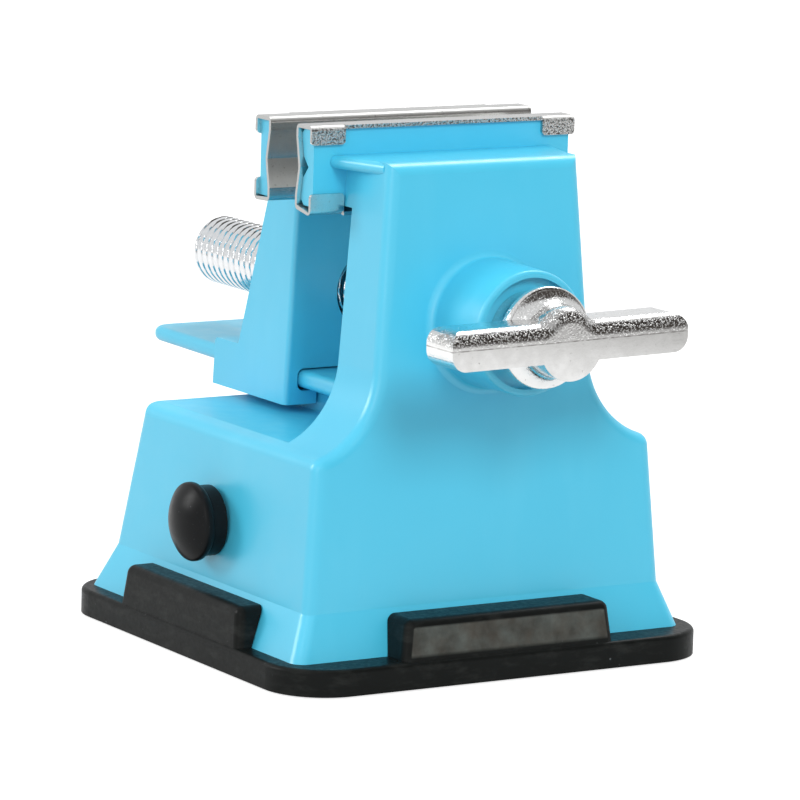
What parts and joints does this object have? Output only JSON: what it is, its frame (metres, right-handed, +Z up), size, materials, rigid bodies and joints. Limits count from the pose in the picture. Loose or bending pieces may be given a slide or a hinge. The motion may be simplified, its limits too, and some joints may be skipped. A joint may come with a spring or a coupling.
{
  "type": "suction base vise",
  "caption": "Small bench vise with steel-faced jaws closed by a T-handled screw, on a square rubber suction pad worked by a side lever.",
  "frame": {"origin": "middle of the suction pad's flat underside, with the suction released", "axes": "+X along the clamp screw towards its handle, +Y along the jaws, +Z up from the bench"},
  "size_m": [0.0907, 0.0667, 0.07],
  "materials": {
    "blue_plastic": "semi-gloss moulded ABS",
    "pad_rubber": "matt black rubber",
    "lever_plastic": "black moulded plastic",
    "plate_steel": "bright stainless sheet",
    "screw_chrome": "bright plated thread",
    "handle_chrome": "chromed die casting",
    "zinc_steel": "zinc plated"
  },
  "bodies": {
    "base": {"housing": "blue_plastic", "fixed_jaw_plate": "plate_steel", "suction_pad": "pad_rubber", "guide_plate": "zinc_steel", "guide_screws": "zinc_steel"},
    "screw": {"clamp_screw": "screw_chrome", "handle": "handle_chrome", "inner_washer": "zinc_steel", "retaining_ring": "zinc_steel"},
    "jaw": {"moving_jaw": "blue_plastic", "moving_jaw_plate": "plate_steel", "jaw_nut": "zinc_steel"},
    "cam": {"cam_shaft": "zinc_steel", "shaft_cap": "lever_plastic", "suction_lever": "lever_plastic", "lever_washer": "zinc_steel", "lever_screw": "zinc_steel"},
    "puller": {"pad_stud": "zinc_steel", "stud_nut": "zinc_steel", "pull_yoke": "lever_plastic"}
  },
  "joints": [
    {"name": "screw_turn", "type": "hinge", "parent": "base", "child": "screw", "pos_m": [0, 0, 0.0453], "axis": [1, 0, 0], "range_deg": [-1560, 5616]},
    {"name": "jaw_slide", "type": "slide", "parent": "base", "child": "jaw", "axis": [1, 0, 0], "range_m": [-0.02341, 0.00651]},
    {"name": "lever_turn", "type": "hinge", "parent": "base", "child": "cam", "pos_m": [0, 0, 0.0172], "axis": [0, 1, 0], "range_deg": [0, 90]},
    {"name": "stud_slide", "type": "slide", "parent": "base", "child": "puller", "axis": [0, 0, 1], "range_m": [0, 0.00227]}
  ],
  "couplings": [
    {"joint": "jaw_slide", "follows": "screw_turn", "m_per_rad": -0.00023873},
    {"joint": "stud_slide", "follows": "lever_turn", "m_per_rad": 0.0014405}
  ]
}
